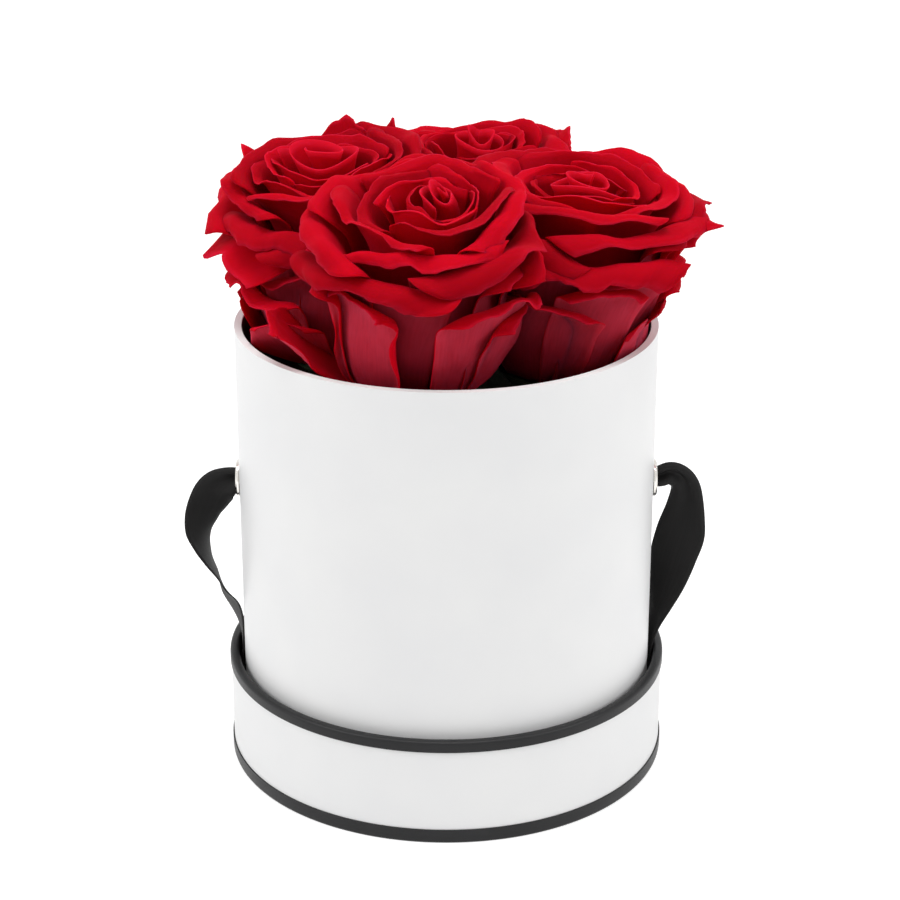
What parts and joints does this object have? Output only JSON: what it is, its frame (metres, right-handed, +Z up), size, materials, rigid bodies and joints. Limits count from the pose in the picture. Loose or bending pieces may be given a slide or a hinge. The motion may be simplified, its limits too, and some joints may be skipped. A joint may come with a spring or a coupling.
{
  "type": "flower box",
  "caption": "Round white card flower box standing in its lid as a base tray, with black edging, ribbon handle through eyelets and preserved red rose heads set in foam.",
  "frame": {"origin": "centre of the tray's underside, on the surface it stands on", "axes": "+Z up along the axis of the box; the eyelets lie on X and the front faces -Y"},
  "size_m": [0.1432, 0.1185, 0.167],
  "materials": {
    "greyboard": "matte",
    "white_paper": "satin",
    "black_binding": "satin",
    "dark_lining": "matte",
    "nickel": "polished",
    "satin_ribbon": "satin",
    "foam": "matte",
    "rose_petal": "matte",
    "calyx": "matte",
    "stem": "matte"
  },
  "bodies": {
    "tray": {"tray_wall_board": "greyboard", "tray_floor_board": "greyboard", "tray_side_wrap": "white_paper", "tray_liner": "white_paper", "tray_floor_liner": "white_paper", "tray_rim_binding": "black_binding", "tray_foot_binding": "black_binding", "tray_base_paper": "white_paper"},
    "box": {"box_wall_board": "greyboard", "box_base_board": "greyboard", "box_side_wrap": "white_paper", "box_base_paper": "white_paper", "box_liner": "dark_lining", "box_floor_liner": "dark_lining", "foam_block": "foam", "ribbon_under_box": "satin_ribbon", "left_eyelet": "nickel", "left_eyelet_washer": "nickel", "ribbon_left_loop": "satin_ribbon", "left_ribbon_knot": "satin_ribbon", "right_eyelet": "nickel", "right_eyelet_washer": "nickel", "ribbon_right_loop": "satin_ribbon", "right_ribbon_knot": "satin_ribbon", "front_rose_stem": "stem", "front_rose_calyx": "calyx", "front_rose_heart": "rose_petal", "front_rose_inner_petals": "rose_petal", "front_rose_middle_petals": "rose_petal", "front_rose_outer_petals": "rose_petal", "front_rose_guard_petals": "rose_petal", "right_rose_stem": "stem", "right_rose_calyx": "calyx", "right_rose_heart": "rose_petal", "right_rose_inner_petals": "rose_petal", "right_rose_middle_petals": "rose_petal", "right_rose_outer_petals": "rose_petal", "right_rose_guard_petals": "rose_petal", "back_rose_stem": "stem", "back_rose_calyx": "calyx", "back_rose_heart": "rose_petal", "back_rose_inner_petals": "rose_petal", "back_rose_middle_petals": "rose_petal", "back_rose_outer_petals": "rose_petal", "back_rose_guard_petals": "rose_petal", "left_rose_stem": "stem", "left_rose_calyx": "calyx", "left_rose_heart": "rose_petal", "left_rose_inner_petals": "rose_petal", "left_rose_middle_petals": "rose_petal", "left_rose_outer_petals": "rose_petal", "left_rose_guard_petals": "rose_petal"}
  },
  "joints": [
    {"name": "box_lift", "type": "slide", "parent": "tray", "child": "box", "axis": [0, 0, 1], "range_m": [0, 0.06]}
  ]
}
